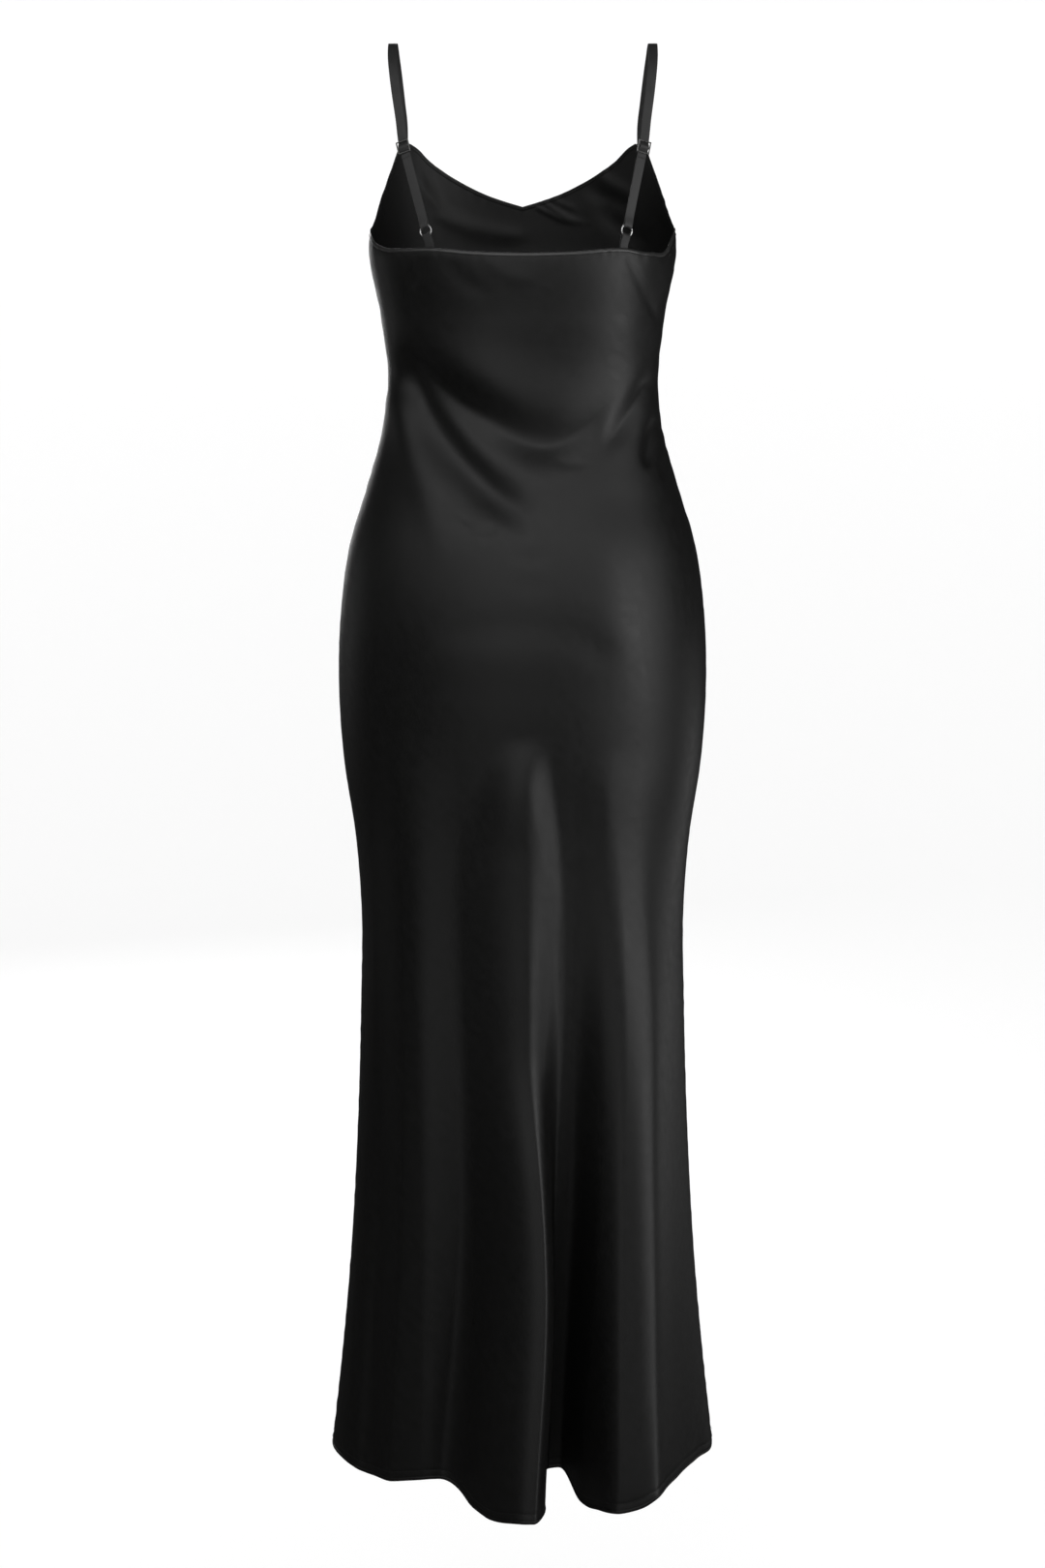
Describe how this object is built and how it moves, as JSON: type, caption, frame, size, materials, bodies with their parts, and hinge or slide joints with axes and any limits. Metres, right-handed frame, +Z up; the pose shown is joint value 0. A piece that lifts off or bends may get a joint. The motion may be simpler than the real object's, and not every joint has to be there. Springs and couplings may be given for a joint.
{
  "type": "slip dress",
  "caption": "Long bias-cut slip dress with a V neck, thin adjustable straps and a fluted hem, filled out with no wearer.",
  "frame": {"origin": "midway between the two strap tops, at the height where they rest on the shoulders", "axes": "+Z up the garment, -Y out of its front, +X towards the wearer's left"},
  "size_m": [0.3824, 0.3564, 1.3622],
  "materials": {
    "front_satin": "black satin with a soft sheen",
    "back_satin": "black satin with a soft sheen",
    "strap_satin": "narrow black satin band",
    "tab_satin": "narrow black satin band",
    "ring_metal": "polished black metal",
    "slider_metal": "polished black metal"
  },
  "bodies": {
    "root": {"front_panel": "front_satin", "back_panel": "back_satin", "strap_left": "strap_satin", "strap_right": "strap_satin", "tab_left": "tab_satin", "tab_right": "tab_satin", "ring_left": "ring_metal", "ring_right": "ring_metal", "slider_left": "slider_metal", "slider_right": "slider_metal"}
  },
  "joints": []
}
